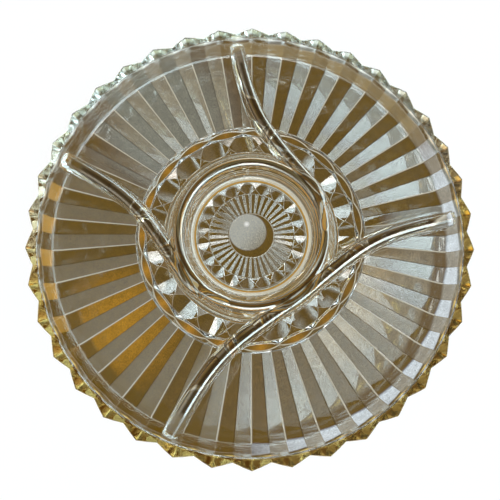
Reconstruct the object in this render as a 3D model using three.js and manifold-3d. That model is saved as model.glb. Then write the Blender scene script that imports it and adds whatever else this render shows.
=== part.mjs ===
// A round pressed-glass serving dish: four curved sections round a centre well, with flutes underneath
// and a rim of points. Millimetres and degrees, +Z up, the table at z = 0 and the dish's axis on Z.
// The narrow section lies towards +Y, and the dividers mirror each other across the plane x = 0.
import * as THREE from "three";
import { mergeVertices } from "three/addons/utils/BufferGeometryUtils.js";
import Module from "manifold-3d";

// Rim and side wall
const DIAMOND_COUNT = 19; // pressed diamonds in the base, each spanning two rim points
const RIM_RADIUS = 178; // axis to a rim point
const POINT_DEPTH = 5.3; // rim point in to the valley beside it
const RIM_BAND_HEIGHT = 5;
const DISH_HEIGHT = 28;
const WALL_GLASS = 4.1; // across the wall at a valley
const WALL_LEAN = 12; // inner wall from upright
const WALL_BEND_RADIUS = 7; // inner bend between floor and wall
const FLUTE_TURN = 1.4; // a rim point's turn from +Y

// Floor and foot
const FLOOR_TOP = 9.2; // table to floor
const FLOOR_GLASS = 3; // floor at a flute's valley
const FLUTE_SLOPE = 16; // facets of the flutes under the floor, from level
const FOOT_WIDTH = 8.3;
const FOOT_FLAT_WIDTH = 3.6; // resting face at its widest
const FOOT_FLAT_PINCH = 1.4; // resting face where the cuts between the diamonds reach it
const FOOT_CHAMFER = 1.2;
const BASE_RECESS = 3.2; // table up to the underside within the foot
const DIAMOND_LENGTH = 15.2; // along the radius, as every length of the bands
const DIAMOND_DEPTH = 2.4;

// Centre well
const WELL_WALL_WIDTH = 26.5; // from fillet to fillet
const WELL_LIP_RADIUS = 5; // rounding of the lip
const WELL_WALL_FILLET = 6;
const SMALL_DIAMOND_LENGTH = 10.5;
const SMALL_DIAMOND_DEPTH = 1.5;
const RAY_LENGTH = 17;
const RAY_DEPTH = 1.3; // at the outer end of a ray
const BUTTON_RADIUS = 19;
const BUTTON_DIMPLE = 1.4; // hollow under the centre

// Dividers
const DIVIDER_HEIGHT = 14; // floor to the top of the dividers and of the well's lip
const DIVIDER_TOP_RADIUS = 2.4;
const DIVIDER_HALF_WIDTH = 7;
const DIVIDER_FILLET = 3.5;
const DIVIDER_TIP_ANGLE = 31.7; // from +Y to the tip of a back divider
const DIVIDER_TURN = 90; // from a back divider to the front one on its side
const DIVIDER_LEAN = 7.5; // from the radius at the tip
const DIVIDER_SWEEP = 55; // angle round the axis from the tip to where it touches the well
const DIVIDER_RUN_OUT = 35; // further angle in which it melts into the well's wall
const DIVIDER_BEND = 0.95; // 1 for a sharp bend between its two straights, less for a rounder one

// Fits and fineness
const CLEARANCE = 0.3;
const BEND_STEPS = 4;
const ARC_STEPS = 3;
const DIVIDER_STEPS = 20;
const RUN_OUT_STEPS = 6;

// Sizes that follow from those above
const POINT_COUNT = 2 * DIAMOND_COUNT;
const SECTION_COUNT = 2 * POINT_COUNT; // one on each rim point and one in each valley
const DIAMOND_SECTIONS = SECTION_COUNT / DIAMOND_COUNT;
const RIM_BAND_BOTTOM = DISH_HEIGHT - RIM_BAND_HEIGHT;
const RIM_INNER_RADIUS = RIM_RADIUS - POINT_DEPTH - WALL_GLASS;
const RAY_OUTER_RADIUS = BUTTON_RADIUS + RAY_LENGTH;
const WELL_RADIUS = RAY_OUTER_RADIUS + SMALL_DIAMOND_LENGTH; // flat bottom of the well
const LIP_CENTRE_RADIUS = WELL_RADIUS + WELL_WALL_WIDTH / 2;
const WELL_WALL_OUTER_RADIUS = WELL_RADIUS + WELL_WALL_WIDTH;
const FOOT_INNER_RADIUS = WELL_WALL_OUTER_RADIUS + DIAMOND_LENGTH;
const FOOT_MIDDLE_RADIUS = FOOT_INNER_RADIUS + FOOT_WIDTH / 2;
const FOOT_OUTER_RADIUS = FOOT_INNER_RADIUS + FOOT_WIDTH;
const DIVIDER_TOP = FLOOR_TOP + DIVIDER_HEIGHT;
const DIVIDER_TOUCH_RADIUS = LIP_CENTRE_RADIUS + 2 * DIVIDER_TOP_RADIUS; // its top runs beside the lip

const wasm = await Module();
wasm.setup();

const { degToRad: radians, lerp, smoothstep } = THREE.MathUtils;
const wallLean = radians(WALL_LEAN);
const bendCentreZ = FLOOR_TOP + WALL_BEND_RADIUS;
const bendCentreRadius = wallRadius(bendCentreZ) - WALL_BEND_RADIUS / Math.cos(wallLean);

// Radius of the straight inner wall at a height.
function wallRadius(z) {
  return RIM_INNER_RADIUS - (DISH_HEIGHT - z) * Math.tan(wallLean);
}

// Angle of a section round the axis: even ones lie on rim points, odd ones in valleys.
function sectionAngle(section) {
  return radians(90 + FLUTE_TURN) + (section * Math.PI) / POINT_COUNT;
}

// 1 on the ridge under a rim point, 0 in a valley.
function ridgeShare(section) {
  return section % 2 === 0 ? 1 : 0;
}

// 1 on a diamond's peak, 0 in the cut between two diamonds. Both lie in valleys of the rim.
function peakShare(section) {
  const turn = ((section + DIAMOND_SECTIONS - 1) % DIAMOND_SECTIONS) / DIAMOND_SECTIONS;
  return 1 - Math.abs(2 * turn - 1);
}

// How far a flute's ridge stands below its valley: the facets keep one slope from the foot to the bend.
function fluteDepth(radius) {
  return ((radius * Math.PI) / POINT_COUNT) * Math.tan(radians(FLUTE_SLOPE));
}

// Evenly spaced numbers from start to end, both included.
function steps(start, end, count) {
  return Array.from({ length: count + 1 }, (_, i) => start + ((end - start) * i) / count);
}

// Points on an arc in the plane of a section.
function arc(x, z, radius, startAngle, endAngle, count) {
  return steps(startAngle, endAngle, count).map((angle) => [
    x + radius * Math.cos(angle),
    z + radius * Math.sin(angle),
  ]);
}

// A round-topped ridge on a floor at z = 0, from its right foot over the top to its left foot.
// The flanks are the lines that touch both the top's arc and the foot's fillet. Grown moves every
// surface outwards.
function ridgeProfile(halfWidth, height, topRadius, fillet, grown) {
  const topZ = height - topRadius;
  const reach = Math.hypot(halfWidth, fillet - topZ);
  const flank = Math.atan2(fillet - topZ, halfWidth) + Math.acos((topRadius + fillet) / reach);
  const footEnd = (3 * Math.PI) / 2;
  const foot = arc(halfWidth, fillet, fillet - grown, footEnd, Math.PI + flank, ARC_STEPS);
  const crown = arc(0, topZ, topRadius + grown, flank, Math.PI - flank, 2 * ARC_STEPS);
  const farFoot = foot.map(([x, z]) => [-x, z]).reverse();
  return [...foot, ...crown, ...farFoot];
}

// Triangles between two sections with equal numbers of corners, given each section's first corner.
function sideTriangles(here, next, corners) {
  return Array.from({ length: corners }, (_, c) => {
    const after = (c + 1) % corners;
    return [[here + c, next + c, next + after], [here + c, next + after, here + after]];
  }).flat();
}

// Merges the corners that coincide, drops the triangles that collapse with them, and indexes the rest.
function closedGeometry(points, triangles) {
  const loose = new THREE.BufferGeometry().setFromPoints(points);
  loose.setIndex(triangles.flat());
  const merged = mergeVertices(loose);
  const kept = [];
  for (let i = 0; i < merged.index.count; i += 3) {
    const corners = [0, 1, 2].map((k) => merged.index.getX(i + k));
    if (new Set(corners).size === corners.length) kept.push(...corners);
  }
  return merged.setIndex(kept);
}

// A ring round the axis, from the [radius, z] corners of each section, anticlockwise.
function ring(sectionAt) {
  const sections = Array.from({ length: SECTION_COUNT }, (_, section) => {
    const angle = sectionAngle(section);
    return sectionAt(section).map(
      ([radius, z]) => new THREE.Vector3(radius * Math.cos(angle), radius * Math.sin(angle), z),
    );
  });
  const corners = sections[0].length;
  const triangles = sections.flatMap((_, section) =>
    sideTriangles(section * corners, ((section + 1) % SECTION_COUNT) * corners, corners),
  );
  return closedGeometry(sections.flat(), triangles);
}

// Geometry to and from a solid that can be cut.
function solidOf(geometry) {
  return new wasm.Manifold(
    new wasm.Mesh({
      numProp: 3,
      vertProperties: geometry.attributes.position.array,
      triVerts: new Uint32Array(geometry.index.array),
    }),
  );
}

function geometryOf(solid) {
  const mesh = solid.getMesh();
  const geometry = new THREE.BufferGeometry();
  geometry.setAttribute("position", new THREE.BufferAttribute(mesh.vertProperties, mesh.numProp));
  return geometry.setIndex(new THREE.BufferAttribute(mesh.triVerts, 1));
}

// Outer face of the rim and wall at a height: straight facets between ridge and valley.
function wallOuterRadius(section, z) {
  return wallRadius(z) + WALL_GLASS + ridgeShare(section) * POINT_DEPTH;
}

// Underside of the floor.
function floorUnderside(section, radius) {
  return FLOOR_TOP - FLOOR_GLASS - ridgeShare(section) * fluteDepth(radius);
}

function pointedRim() {
  return ring((section) => [
    [wallRadius(RIM_BAND_BOTTOM), RIM_BAND_BOTTOM],
    [wallOuterRadius(section, RIM_BAND_BOTTOM), RIM_BAND_BOTTOM],
    [wallOuterRadius(section, DISH_HEIGHT), DISH_HEIGHT],
    [RIM_INNER_RADIUS, DISH_HEIGHT],
  ]);
}

// The bend between floor and wall, moved out by a thickness that may change from floor to wall.
function bend(floorThickness, wallThickness) {
  return steps(0, 1, BEND_STEPS).map((share) => {
    const angle = lerp(-Math.PI / 2, -wallLean, share);
    const radius = WALL_BEND_RADIUS + lerp(floorThickness, wallThickness, share);
    return [bendCentreRadius + radius * Math.cos(angle), bendCentreZ + radius * Math.sin(angle)];
  });
}

function sideWall() {
  return ring((section) => {
    const floorGlass = FLOOR_TOP - floorUnderside(section, bendCentreRadius);
    const wallGlass = (WALL_GLASS + ridgeShare(section) * POINT_DEPTH) * Math.cos(wallLean);
    return [
      ...bend(floorGlass, wallGlass),
      [wallOuterRadius(section, RIM_BAND_BOTTOM), RIM_BAND_BOTTOM],
      [wallRadius(RIM_BAND_BOTTOM), RIM_BAND_BOTTOM],
      ...bend(0, 0).reverse(),
    ];
  });
}

function flutedFloor() {
  return ring((section) => [
    [FOOT_OUTER_RADIUS, floorUnderside(section, FOOT_OUTER_RADIUS)],
    [bendCentreRadius, floorUnderside(section, bendCentreRadius)],
    [bendCentreRadius, FLOOR_TOP],
    [FOOT_OUTER_RADIUS, FLOOR_TOP],
  ]);
}

function footRing() {
  return ring((section) => {
    const flat = lerp(FOOT_FLAT_PINCH, FOOT_FLAT_WIDTH, peakShare(section));
    return [
      [FOOT_INNER_RADIUS, BASE_RECESS],
      [FOOT_MIDDLE_RADIUS - flat / 2, 0],
      [FOOT_MIDDLE_RADIUS + flat / 2, 0],
      [FOOT_OUTER_RADIUS, FOOT_CHAMFER],
      [FOOT_OUTER_RADIUS, FLOOR_TOP],
      [FOOT_INNER_RADIUS, FLOOR_TOP],
    ];
  });
}

// A flat-topped ring with a row of pressed diamonds underneath, their peaks on its middle circle.
function diamondRing(innerRadius, outerRadius, depth) {
  const middle = (innerRadius + outerRadius) / 2;
  return ring((section) => {
    const edge = ((outerRadius - innerRadius) / 2) * (1 - peakShare(section));
    const facet = BASE_RECESS - depth * peakShare(section);
    return [
      [innerRadius, BASE_RECESS],
      [middle - edge, facet],
      [middle + edge, facet],
      [outerRadius, BASE_RECESS],
      [outerRadius, FLOOR_TOP],
      [innerRadius, FLOOR_TOP],
    ];
  });
}

// The well's wall above the floor, grown by a clearance where it serves to cut its neighbours.
function wellWallProfile(grown) {
  const profile = ridgeProfile(
    WELL_WALL_WIDTH / 2,
    DIVIDER_HEIGHT,
    WELL_LIP_RADIUS,
    WELL_WALL_FILLET,
    grown,
  );
  return profile.map(([x, z]) => [LIP_CENTRE_RADIUS + x, FLOOR_TOP + z]);
}

function wellWall() {
  return ring(() => [
    [WELL_RADIUS, BASE_RECESS],
    [WELL_WALL_OUTER_RADIUS, BASE_RECESS],
    ...wellWallProfile(0),
  ]);
}

function rayRing() {
  return ring((section) => {
    const rayDrop = (radius) => (ridgeShare(section) * RAY_DEPTH * radius) / RAY_OUTER_RADIUS;
    return [
      [BUTTON_RADIUS, BASE_RECESS - rayDrop(BUTTON_RADIUS)],
      [RAY_OUTER_RADIUS, BASE_RECESS - rayDrop(RAY_OUTER_RADIUS)],
      [RAY_OUTER_RADIUS, FLOOR_TOP],
      [BUTTON_RADIUS, FLOOR_TOP],
    ];
  });
}

// The centre disc, with a shallow round dimple underneath.
function centreButton() {
  const dimple = steps(0, 1, ARC_STEPS).map((share) => [
    BUTTON_RADIUS * share,
    BASE_RECESS + BUTTON_DIMPLE * (1 - share * share),
  ]);
  return ring(() => [...dimple, [BUTTON_RADIUS, FLOOR_TOP], [0, FLOOR_TOP]]);
}

// Middle line of a divider in plan, its tip on +X: straight in from the wall, round its bend to
// touch the well, then along the well until it has melted into the lip.
function dividerLine() {
  const lean = radians(DIVIDER_LEAN);
  const sweep = radians(DIVIDER_SWEEP);
  const onWell = (angle, radius) => new THREE.Vector2(radius * Math.cos(angle), -radius * Math.sin(angle));
  const tip = new THREE.Vector2(wallRadius(DIVIDER_TOP) + WALL_GLASS, 0);
  const inwards = new THREE.Vector2(-Math.cos(lean), -Math.sin(lean));
  const touch = onWell(sweep, DIVIDER_TOUCH_RADIUS);
  const alongWell = new THREE.Vector2(-Math.sin(sweep), -Math.cos(sweep));
  const gap = touch.clone().sub(tip);
  const corner = tip.clone().addScaledVector(inwards, gap.cross(alongWell) / inwards.cross(alongWell));
  const curve = new THREE.CubicBezierCurve(
    tip,
    tip.clone().lerp(corner, DIVIDER_BEND),
    touch.clone().lerp(corner, DIVIDER_BEND),
    touch,
  );
  const runOut = steps(0, 1, RUN_OUT_STEPS).map((share) =>
    onWell(
      sweep + radians(DIVIDER_RUN_OUT) * share,
      lerp(DIVIDER_TOUCH_RADIUS, LIP_CENTRE_RADIUS, smoothstep(share, 0, 1)),
    ),
  );
  return [...curve.getSpacedPoints(DIVIDER_STEPS), ...runOut.slice(1)];
}

// A ridge on the floor along the divider's line, closed at both ends.
function dividerBlank() {
  const line = dividerLine();
  const profile = ridgeProfile(DIVIDER_HALF_WIDTH, DIVIDER_HEIGHT, DIVIDER_TOP_RADIUS, DIVIDER_FILLET, 0);
  const sections = line.map((point, i) => {
    const before = line[Math.max(i - 1, 0)];
    const after = line[Math.min(i + 1, line.length - 1)];
    const along = after.clone().sub(before).normalize();
    return profile.map(
      ([x, z]) => new THREE.Vector3(point.x + x * along.y, point.y - x * along.x, FLOOR_TOP + z),
    );
  });
  return cappedLoft(sections, profile);
}

// A solid through a row of sections, its two end sections filled.
function cappedLoft(sections, profile) {
  const corners = profile.length;
  const last = (sections.length - 1) * corners;
  const contour = profile.map(([x, z]) => new THREE.Vector2(x, z));
  const cap = THREE.ShapeUtils.triangulateShape(contour, []);
  const sides = sections.slice(1).flatMap((_, i) => sideTriangles(i * corners, (i + 1) * corners, corners));
  const ends = cap.flatMap(([a, b, c]) => [[a, b, c], [last + c, last + b, last + a]]);
  return closedGeometry(sections.flat(), [...sides, ...ends]);
}

// What a divider keeps clear of: the wall, the well's wall and the mirrored half of the dish.
function dividerCutters() {
  const wallFace = bend(-CLEARANCE, -CLEARANCE).reverse();
  const bendStart = bendCentreRadius - CLEARANCE;
  const wall = ring(() => [
    [bendStart, 0],
    [RIM_RADIUS, 0],
    [RIM_RADIUS, DISH_HEIGHT],
    [RIM_INNER_RADIUS - CLEARANCE / Math.cos(wallLean), DISH_HEIGHT],
    ...wallFace,
    [bendStart, FLOOR_TOP + CLEARANCE],
  ]);
  const wellEnd = WELL_WALL_OUTER_RADIUS + CLEARANCE;
  const well = ring(() => [
    [WELL_RADIUS, 0],
    [wellEnd, 0],
    [wellEnd, FLOOR_TOP + CLEARANCE],
    ...wellWallProfile(CLEARANCE),
  ]);
  const half = new THREE.BoxGeometry(RIM_RADIUS, 2 * RIM_RADIUS, 2 * DISH_HEIGHT);
  half.deleteAttribute("normal").deleteAttribute("uv");
  half.translate((CLEARANCE - RIM_RADIUS) / 2, 0, 0);
  return [wall, well, mergeVertices(half)].map(solidOf);
}

function divider(tipAngle, cutters) {
  const blank = dividerBlank().rotateZ(radians(tipAngle));
  return geometryOf(cutters.reduce((solid, cutter) => solid.subtract(cutter), solidOf(blank)));
}

// Finishes, as seen: clear and faintly golden glass, warmer where the pressed underside gathers light.
const CLEAR_GLASS = { color: 0xcfc8b2, roughness: 0.05, metalness: 0 };
const WARM_GLASS = { color: 0xb59a66, roughness: 0.08, metalness: 0 };

function named(name, geometry, finish) {
  const mesh = new THREE.Mesh(geometry, new THREE.MeshStandardMaterial(finish));
  mesh.geometry.computeVertexNormals();
  mesh.name = name;
  return mesh;
}

const dish = new THREE.Group();
dish.add(
  named("pointed_rim", pointedRim(), CLEAR_GLASS),
  named("side_wall", sideWall(), CLEAR_GLASS),
  named("fluted_floor", flutedFloor(), WARM_GLASS),
  named("foot_ring", footRing(), WARM_GLASS),
  named("diamond_band", diamondRing(WELL_WALL_OUTER_RADIUS, FOOT_INNER_RADIUS, DIAMOND_DEPTH), WARM_GLASS),
  named("well_wall", wellWall(), CLEAR_GLASS),
  named("small_diamond_band", diamondRing(RAY_OUTER_RADIUS, WELL_RADIUS, SMALL_DIAMOND_DEPTH), WARM_GLASS),
  named("ray_ring", rayRing(), WARM_GLASS),
  named("centre_button", centreButton(), CLEAR_GLASS),
);

const cutters = dividerCutters();
const backAngle = 90 - DIVIDER_TIP_ANGLE;
const frontAngle = backAngle - DIVIDER_TURN;
const leftHalf = new THREE.Group();
leftHalf.scale.x = -1;
dish.add(leftHalf);
for (const [place, angle] of [["back", backAngle], ["front", frontAngle]]) {
  dish.add(named(`divider_${place}_right`, divider(angle, cutters), CLEAR_GLASS));
  leftHalf.add(named(`divider_${place}_left`, divider(angle, cutters), CLEAR_GLASS));
}

export default dish;
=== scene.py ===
"""A divided serving dish of pressed glass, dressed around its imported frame.

Everything is in metres, with +Z up along the dish's axis and +Y through the middle of the narrow section.
"""

import logging
import math
from dataclasses import dataclass
from enum import Enum
from math import radians
from typing import NamedTuple

import bmesh
import bpy
import numpy as np
from mathutils import Matrix, Vector, geometry


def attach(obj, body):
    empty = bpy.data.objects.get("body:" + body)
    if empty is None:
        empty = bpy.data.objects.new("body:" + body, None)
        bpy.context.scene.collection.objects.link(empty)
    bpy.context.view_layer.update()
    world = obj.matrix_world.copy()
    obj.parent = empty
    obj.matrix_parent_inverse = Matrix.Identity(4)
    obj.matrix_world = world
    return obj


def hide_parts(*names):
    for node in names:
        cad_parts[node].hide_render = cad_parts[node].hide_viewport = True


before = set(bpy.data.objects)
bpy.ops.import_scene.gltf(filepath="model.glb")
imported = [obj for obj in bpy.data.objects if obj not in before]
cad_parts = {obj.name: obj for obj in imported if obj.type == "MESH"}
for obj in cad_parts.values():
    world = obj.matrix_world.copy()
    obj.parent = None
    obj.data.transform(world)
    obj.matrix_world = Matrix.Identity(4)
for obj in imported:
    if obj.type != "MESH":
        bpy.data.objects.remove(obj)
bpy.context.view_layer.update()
LOG = logging.getLogger("serving_dish")
MM = 0.001
TINY = 1e-9
NARROW_SECTION = radians(90)
WHITE = (1, 1, 1)
BLACK = (0, 0, 0)

Point = tuple[float, float]
Colour = tuple[float, float, float]
Socket = bpy.types.NodeSocket


class Corner(NamedTuple):
    """A corner of the underside's profile, with a painted highlight (above 0) or painted shade (below 0)
    along its edge and the painted warm light of the side after it.
    """

    radius: float
    height: float
    glint: float = 0
    warm_light: float = 0


# Small helpers

def lerp(start: float, end: float, share: float) -> float:
    """Return the value that lies a share of the way from start to end."""
    return start + (end - start) * share


def shares(steps: int) -> list[float]:
    """Return even shares of a way, from 0 to 1 in a number of steps."""
    return [step / steps for step in range(steps + 1)]


def polar(centre: Point, reach: float, angle: float) -> Point:
    """Return the point at a reach and an angle from a centre."""
    return centre[0] + reach * math.cos(angle), centre[1] + reach * math.sin(angle)


def circle(radius: float, angles: np.ndarray) -> np.ndarray:
    """Return the plan points of a circle round the axis at some angles."""
    return radius * np.column_stack((np.cos(angles), np.sin(angles)))


def heading(azimuth: float, elevation: float) -> Vector:
    """Return the unit vector towards an azimuth and an elevation."""
    return Vector((*polar((0, 0), math.cos(elevation), azimuth), math.sin(elevation)))


def softened(corners: list[Corner], soft: float, most: float = 1 / 3) -> list[Corner]:
    """Add a point close to each end of every side, so that flats stay flat and only the edges shade round.

    Args:
        corners: the corners of a profile.
        soft: how far from a plain corner the added points lie; one with a painted highlight line takes up
            to twice that.
        most: largest share of a side between a corner and the point beside it.

    Returns:
        The profile with two points added to every side.
    """
    points = []
    for start, end in zip(corners, corners[1:]):
        length = math.hypot(end.radius - start.radius, end.height - start.height)
        reaches = [soft * (1 + corner.glint) for corner in (start, end)]
        first, last = (min(reach / length, most) if length else 0 for reach in reaches)
        points.append(start)
        for way in (first, 1 - last):
            radius = lerp(start.radius, end.radius, way)
            points.append(Corner(radius, lerp(start.height, end.height, way), 0, start.warm_light))
    return [*points, corners[-1]]


def blend_heights(first: np.ndarray, second: np.ndarray, fillet: float) -> np.ndarray:
    """Join two reliefs at the higher of them, with a fillet where they meet and none where either is flat.

    Args:
        first: heights of the first relief above the floor.
        second: heights of the second relief above the floor.
        fillet: size of the fillet.

    Returns:
        The joined heights.
    """
    reach = np.minimum(np.minimum(first, second), fillet)
    near = np.maximum(reach - np.abs(first - second), 0)
    return np.maximum(first, second) + near ** 2 / (4 * np.maximum(reach, TINY))


def distance_to_path(points: np.ndarray, path: np.ndarray) -> np.ndarray:
    """Measure how far each plan point lies from a path of straight pieces.

    Args:
        points: plan points, one row each.
        path: the path's corners, one row each.

    Returns:
        One distance for each point.
    """
    nearest = np.full(len(points), np.inf)
    for start, end in zip(path, path[1:]):
        along = end - start
        share = np.clip((points - start) @ along / (along @ along), 0, 1)
        gap = np.hypot(*(points - start - share[:, None] * along).T)
        nearest = np.minimum(nearest, gap)
    return nearest


def link(data: bpy.types.ID, name: str) -> bpy.types.Object:
    """Put some data into the scene.

    Args:
        data: a mesh or a camera.
        name: name of the object.

    Returns:
        The new object.
    """
    thing = bpy.data.objects.new(name, data)
    bpy.context.scene.collection.objects.link(thing)
    return thing


# Shape of the dish, one class for each moulded zone

@dataclass(frozen=True)
class Pattern:
    """The pressed pattern's repeat: one sector runs between the cuts on both sides of a diamond.

    A place counts across the sector: -1 and 1 are its cuts and 0 is the diamond's peak between them.
    Its creases are valleys and ridges by turns.
    The first peak is given in half sectors from the middle of the narrow section.
    """

    diamonds: int = 19
    creases: tuple[float, ...] = (-1, -0.5, 0, 0.5, 1)
    turn: float = radians(1.4)
    first_peak: float = 1.5
    edge: float = 0.03
    soft: float = 0.35 * MM
    # Painted highlight lines along the ridges and painted shade lines along the valleys.
    ridge_glint: float = 0.9
    valley_shade: float = 0.6

    @property
    def half_angle(self) -> float:
        """Angle of half a sector."""
        return math.pi / self.diamonds

    def angle(self, place: float) -> float:
        """Angle round the dish of a place in the first sector."""
        return NARROW_SECTION + self.turn + (self.first_peak + place) * self.half_angle

    def ridge(self, place: float) -> float:
        """Share of a flute's height: 1 on the two ridges of a sector, 0 in its valleys."""
        return 1 - abs(2 * abs(place) - 1)

    def falls(self, place: float) -> bool:
        """Tell whether the flute's facet at a place falls from ridge to valley as the place grows."""
        _, first_ridge, peak, second_ridge, _ = self.creases
        return first_ridge < place < peak or place > second_ridge

    def glint(self, place: float) -> float:
        """Painted highlight and shade of a column: a painted highlight on ridges, below zero for painted
        shade in the valleys, none between them.

        Args:
            place: place across the sector.

        Returns:
            The painted highlight or shade.
        """
        if place not in self.creases:
            return 0
        return self.ridge_glint if self.ridge(place) else -self.valley_shade

    def places(self) -> list[float]:
        """Lay out a sector's columns, close together beside each ridge and valley.

        Returns:
            The columns' places.
        """
        places = []
        for crease, following in zip(self.creases, self.creases[1:]):
            places += [crease, crease + self.edge, (crease + following) / 2, following - self.edge]
        return [*places, self.creases[-1]]


@dataclass(frozen=True)
class Floor:
    """The flat floor with V-flutes pressed underneath."""

    top: float = 9.2 * MM
    glass: float = 3 * MM
    flute_slope: float = radians(16)
    flutes: int = 38

    def flute_depth(self, radius: float) -> float:
        """Depth of the flutes, which grow with the radius."""
        return radius * math.pi / self.flutes * math.tan(self.flute_slope)

    def underside(self, radius: float, ridge: float) -> float:
        """Height of the underside at a radius and a share of the ridge."""
        return self.top - self.glass - ridge * self.flute_depth(radius)


@dataclass(frozen=True)
class Rim:
    """The leaning wall and its band of points."""

    floor: Floor
    radius: float = 178 * MM
    point_depth: float = 5.3 * MM
    height: float = 28 * MM
    glass: float = 4.1 * MM
    lean: float = radians(12)
    bend_radius: float = 7 * MM
    edge_radius: float = 0.5 * MM
    wall_ridge: float = 1.9 * MM
    flare_bottom: float = 19 * MM
    flare_top: float = 26 * MM
    # Painted highlight along the points' edges; the painted highlight and shade lines along the creases end
    # at crease_end.
    edge_glint: float = 0.25
    crease_end: float = 166 * MM
    bend_steps: int = 6
    wall_steps: int = 10
    edge_steps: int = 4

    @property
    def inner_radius(self) -> float:
        """Inner radius at the top of the rim."""
        return self.radius - self.point_depth - self.glass

    @property
    def bend_centre(self) -> Point:
        """Radius and height of the middle of the bend between floor and wall."""
        height = self.floor.top + self.bend_radius
        return self.wall_radius(height) - self.bend_radius / math.cos(self.lean), height

    @property
    def seam_radius(self) -> float:
        """Radius on the flat top where the upper face meets the underside."""
        return self.inner_radius + 2 * self.edge_radius

    def wall_radius(self, height: float) -> float:
        """Inner radius of the wall at a height."""
        return self.inner_radius - (self.height - height) * math.tan(self.lean)

    def bend(self, floor_glass: float, wall_glass: float) -> list[Point]:
        """Lay out the bend under some thickness of glass.

        Args:
            floor_glass: thickness at the floor.
            wall_glass: thickness at the wall.

        Returns:
            Radius and height of its points, from the floor up to the wall.
        """
        points = []
        for share in shares(self.bend_steps):
            reach = self.bend_radius + lerp(floor_glass, wall_glass, share)
            points.append(polar(self.bend_centre, reach, lerp(-math.pi / 2, -self.lean, share)))
        return points

    def outer_corners(self, ridge: float) -> list[Corner]:
        """Lay out the outside of bend, wall and rim.

        Args:
            ridge: share of the ridge.

        Returns:
            The corners from the floor up to the seam.
        """
        floor_glass = self.floor.top - self.floor.underside(self.bend_centre[0], ridge)
        wall_glass = (self.glass + ridge * self.wall_ridge) * math.cos(self.lean)
        flare = self.wall_radius(self.flare_bottom) + self.glass + ridge * self.wall_ridge
        outer = self.inner_radius + self.glass + ridge * self.point_depth
        return [
            *(Corner(*point) for point in self.bend(floor_glass, wall_glass)),
            Corner(flare, self.flare_bottom, self.edge_glint),
            Corner(outer, self.flare_top, self.edge_glint),
            Corner(outer, self.height, self.edge_glint),
            Corner(self.seam_radius, self.height),
        ]

    def inner_corners(self) -> list[Point]:
        """Lay out the inside of bend, wall and rim.

        Returns:
            Radius and height of the corners from the floor up to the seam.
        """
        corners = self.bend(0, 0)
        foot = corners[-1][1]
        top = self.height - self.edge_radius
        for share in shares(self.wall_steps)[1:]:
            height = lerp(foot, top, share)
            corners.append((self.wall_radius(height), height))
        edge_start = corners[-1][0]
        for share in shares(self.edge_steps)[1:]:
            angle = math.pi / 2 * share
            radius = edge_start + self.edge_radius * (1 - math.cos(angle))
            corners.append((radius, top + self.edge_radius * math.sin(angle)))
        return corners


@dataclass(frozen=True)
class Ridge:
    """A round-topped ridge on the floor that runs out in a fillet on both sides."""

    half_width: float
    height: float
    top_radius: float
    fillet: float
    steps: int = 6

    def profile(self) -> list[Point]:
        """Lay out half of the cross-section.

        Returns:
            Distance from the middle and height of its points, from the top down.
        """
        top = (0, self.height - self.top_radius)
        foot = (self.half_width, self.fillet)
        rise = foot[1] - top[1]
        span = math.hypot(self.half_width, rise)
        flank = math.atan2(rise, self.half_width) + math.acos((self.top_radius + self.fillet) / span)
        even = shares(self.steps)
        crown = [polar(top, self.top_radius, lerp(math.pi / 2, flank, share)) for share in even]
        skirt = [polar(foot, -self.fillet, lerp(flank, math.pi / 2, share)) for share in even]
        return crown + skirt

    def height_at(self, distance: np.ndarray) -> np.ndarray:
        """Return the ridge's height at distances from its middle."""
        offsets, heights = zip(*self.profile())
        return np.interp(distance, offsets, heights)


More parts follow.
